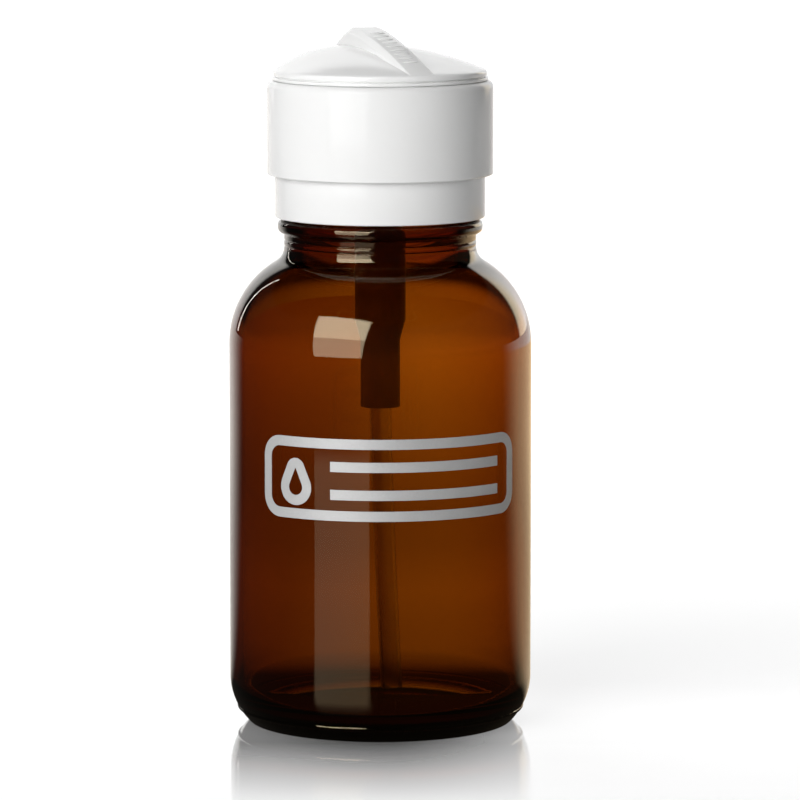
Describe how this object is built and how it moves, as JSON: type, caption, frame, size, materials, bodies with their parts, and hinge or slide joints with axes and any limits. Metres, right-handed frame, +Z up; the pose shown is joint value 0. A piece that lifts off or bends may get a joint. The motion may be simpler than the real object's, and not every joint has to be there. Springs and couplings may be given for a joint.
{
  "type": "pump bottle",
  "caption": "Amber glass bottle with a screw-on piston pump: a white sleeve and dish press down to bring liquid up, under a domed twist lid with a grip bar.",
  "frame": {"origin": "centre of the bottle's base, on the surface it stands on", "axes": "+Z up along the bottle's axis, -Y towards the front of the picture, +X to its right"},
  "size_m": [0.0636, 0.0636, 0.1459],
  "materials": {
    "amber_glass": "polished",
    "cap_plastic": "gloss",
    "head_plastic": "gloss",
    "lid_plastic": "gloss",
    "pump_plastic": "satin",
    "inner_plastic": "satin",
    "tube_plastic": "satin",
    "pale_seal": "matte",
    "dark_seal": "matte",
    "bright_steel": "polished"
  },
  "bodies": {
    "bottle": {"bottle": "amber_glass"},
    "pump_body": {"pump_cylinder": "pump_plastic", "cap_gasket": "pale_seal", "gland_bush": "inner_plastic", "stem_seal": "dark_seal", "inlet_cage": "inner_plastic", "dip_tube": "tube_plastic", "return_spring": "bright_steel"},
    "screw_cap": {"screw_cap": "cap_plastic"},
    "pump_head": {"head_sleeve": "head_plastic", "dish": "head_plastic", "dish_nozzle": "bright_steel", "dish_o_ring": "dark_seal", "piston_stem": "inner_plastic", "piston": "inner_plastic", "piston_ring": "pale_seal"},
    "inlet_ball": {"inlet_ball": "bright_steel"},
    "outlet_ball": {"outlet_ball": "bright_steel"},
    "lid_gasket": {"lid_gasket": "pale_seal"},
    "lid": {"lid": "lid_plastic"}
  },
  "joints": [
    {"name": "pump_lift", "type": "slide", "parent": "bottle", "child": "pump_body", "axis": [0, 0, 1], "range_m": [0, 0.0053]},
    {"name": "cap_unscrew", "type": "hinge", "parent": "pump_body", "child": "screw_cap", "pos_m": [0, 0, 0.113], "axis": [0, 0, 1], "range_deg": [0, 450]},
    {"name": "head_press", "type": "slide", "parent": "pump_body", "child": "pump_head", "axis": [0, 0, -1], "range_m": [0, 0.007], "stiffness_N_per_m": 700, "springref_m": -0.006, "deforming": ["return_spring"]},
    {"name": "inlet_ball_lift", "type": "slide", "parent": "pump_body", "child": "inlet_ball", "axis": [0, 0, 1], "range_m": [0, 0.0014]},
    {"name": "outlet_ball_lift", "type": "slide", "parent": "pump_head", "child": "outlet_ball", "axis": [0, 0, 1], "range_m": [0, 0.0012]},
    {"name": "lid_lift", "type": "slide", "parent": "pump_head", "child": "lid_gasket", "axis": [0, 0, 1], "range_m": [0, 0.04]},
    {"name": "lid_twist", "type": "hinge", "parent": "lid_gasket", "child": "lid", "pos_m": [0, 0, 0.139], "axis": [0, 0, 1], "range_deg": [-60, 0]}
  ],
  "couplings": [
    {"joint": "pump_lift", "follows": "cap_unscrew", "m_per_rad": 0.00067375}
  ]
}
